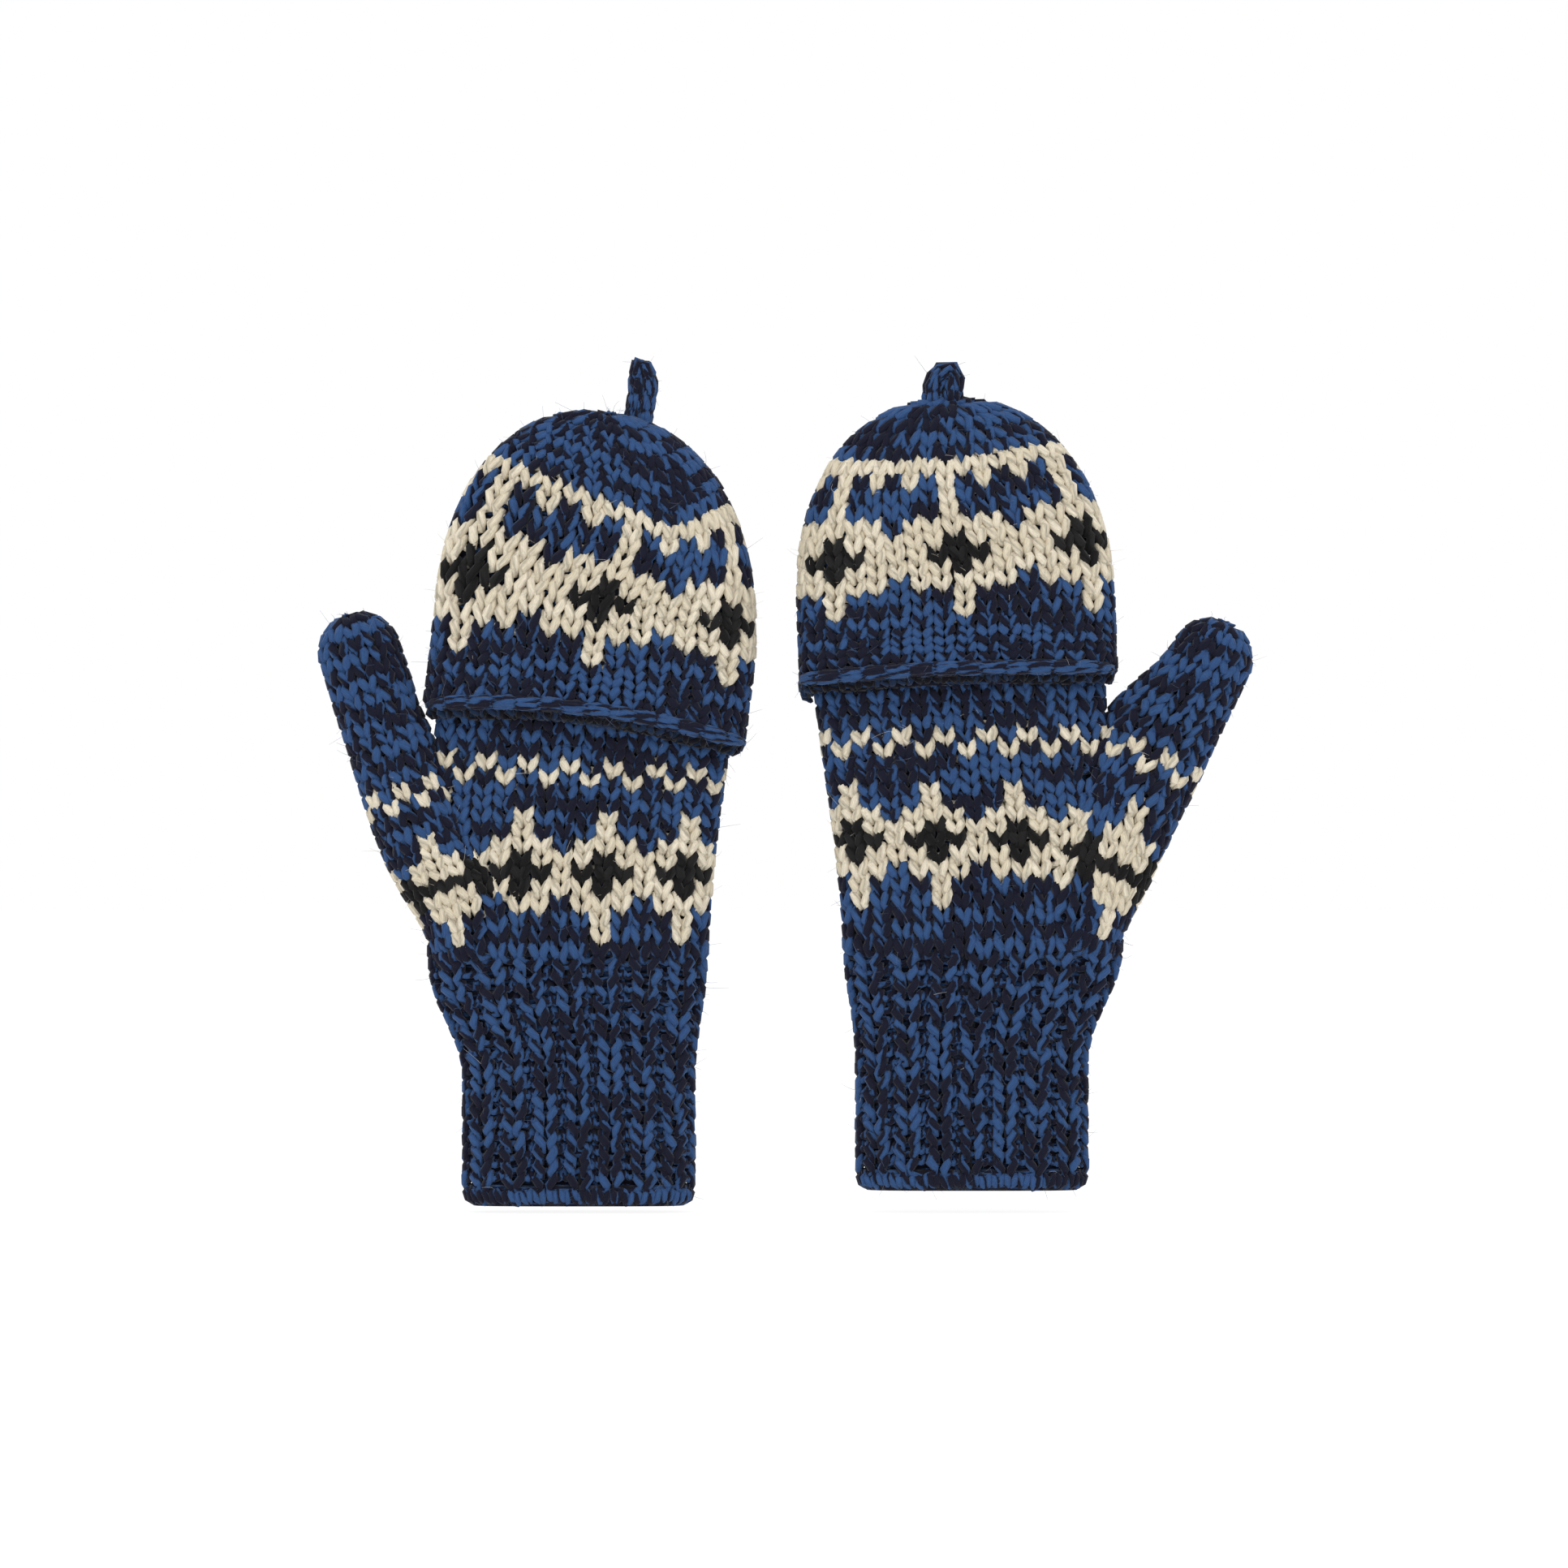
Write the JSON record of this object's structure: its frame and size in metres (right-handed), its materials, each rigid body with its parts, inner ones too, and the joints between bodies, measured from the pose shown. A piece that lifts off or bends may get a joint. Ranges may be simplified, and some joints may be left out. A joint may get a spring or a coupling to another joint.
{
  "type": "knitted mittens",
  "caption": "Knitted fold-over mittens: ribbed cuffs, patterned hands and thumbs, open finger sleeves, and caps that fold back and loop onto a wrist button.",
  "frame": {"origin": "midway between the two cuffs, level with the left cuff's bottom edge, in the middle of the fabric's thickness", "axes": "+X from the left mitten to the right one, +Y out of the backs of the hands, +Z from the cuffs to the fingertips"},
  "size_m": [0.3004, 0.0346, 0.2742],
  "materials": {
    "ribbing": "ribbed knit of thick two-ply wool, dark navy twisted with mid blue",
    "cuff_edge": "cast-on edge of the same marled wool",
    "hand": "stocking stitch in marled blue wool with a cream and charcoal diamond band",
    "thumb": "stocking stitch in marled blue wool, its bands slanting with the thumb",
    "cap": "stocking stitch in marled blue wool with a deep cream band and charcoal diamonds",
    "cap_rim": "rolled edge of marled blue wool",
    "finger_sleeves": "stocking stitch in marled blue wool",
    "seam": "overcast seam of marled blue wool",
    "loop": "knitted cord of marled blue wool",
    "button": "dark horn, polished, four holes",
    "button_thread": "navy sewing thread"
  },
  "bodies": {
    "left_mitten": {"left_cuff_edge": "cuff_edge", "left_cuff": "ribbing", "left_hand": "hand", "left_index_sleeve": "finger_sleeves", "left_middle_sleeve": "finger_sleeves", "left_ring_sleeve": "finger_sleeves", "left_little_sleeve": "finger_sleeves", "left_knuckle_seam": "seam", "left_button": "button", "left_button_shank": "button_thread"},
    "left_thumb": {"left_thumb": "thumb"},
    "left_cap": {"left_cap": "cap", "left_cap_rim": "cap_rim"},
    "left_loop": {"left_loop": "loop"},
    "right_mitten": {"right_cuff_edge": "cuff_edge", "right_cuff": "ribbing", "right_hand": "hand", "right_index_sleeve": "finger_sleeves", "right_middle_sleeve": "finger_sleeves", "right_ring_sleeve": "finger_sleeves", "right_little_sleeve": "finger_sleeves", "right_knuckle_seam": "seam", "right_button": "button", "right_button_shank": "button_thread"},
    "right_thumb": {"right_thumb": "thumb"},
    "right_cap": {"right_cap": "cap", "right_cap_rim": "cap_rim"},
    "right_loop": {"right_loop": "loop"}
  },
  "joints": [
    {"name": "mittens_apart", "type": "slide", "parent": "left_mitten", "child": "right_mitten", "axis": [1, 0, 0], "range_m": [0, 0.12]},
    {"name": "left_cap_fold", "type": "hinge", "parent": "left_mitten", "child": "left_cap", "pos_m": [-0.06235, 0.0125, 0.17038], "axis": [-0.9925, 0, 0.1219], "range_deg": [0, 170]},
    {"name": "left_thumb_fold", "type": "hinge", "parent": "left_mitten", "child": "left_thumb", "pos_m": [-0.12688, -0.0105, 0.14748], "axis": [0.9537, 0, 0.3007], "range_deg": [0, 50], "stiffness_Nm_per_rad": 0.012},
    {"name": "left_loop_bend", "type": "hinge", "parent": "left_cap", "child": "left_loop", "pos_m": [-0.0465, -0.0029, 0.25438], "axis": [-0.9925, 0, 0.1219], "range_deg": [-40, 40], "stiffness_Nm_per_rad": 0.002},
    {"name": "right_cap_fold", "type": "hinge", "parent": "right_mitten", "child": "right_cap", "pos_m": [0.05564, 0.0125, 0.18149], "axis": [-0.9994, 0, -0.0349], "range_deg": [0, 170]},
    {"name": "right_thumb_fold", "type": "hinge", "parent": "right_mitten", "child": "right_thumb", "pos_m": [0.12362, -0.0105, 0.14712], "axis": [0.9026, 0, -0.4305], "range_deg": [0, 50], "stiffness_Nm_per_rad": 0.012},
    {"name": "right_loop_bend", "type": "hinge", "parent": "right_cap", "child": "right_loop", "pos_m": [0.05139, -0.0029, 0.26019], "axis": [-0.9994, 0, -0.0349], "range_deg": [-40, 40], "stiffness_Nm_per_rad": 0.002}
  ]
}
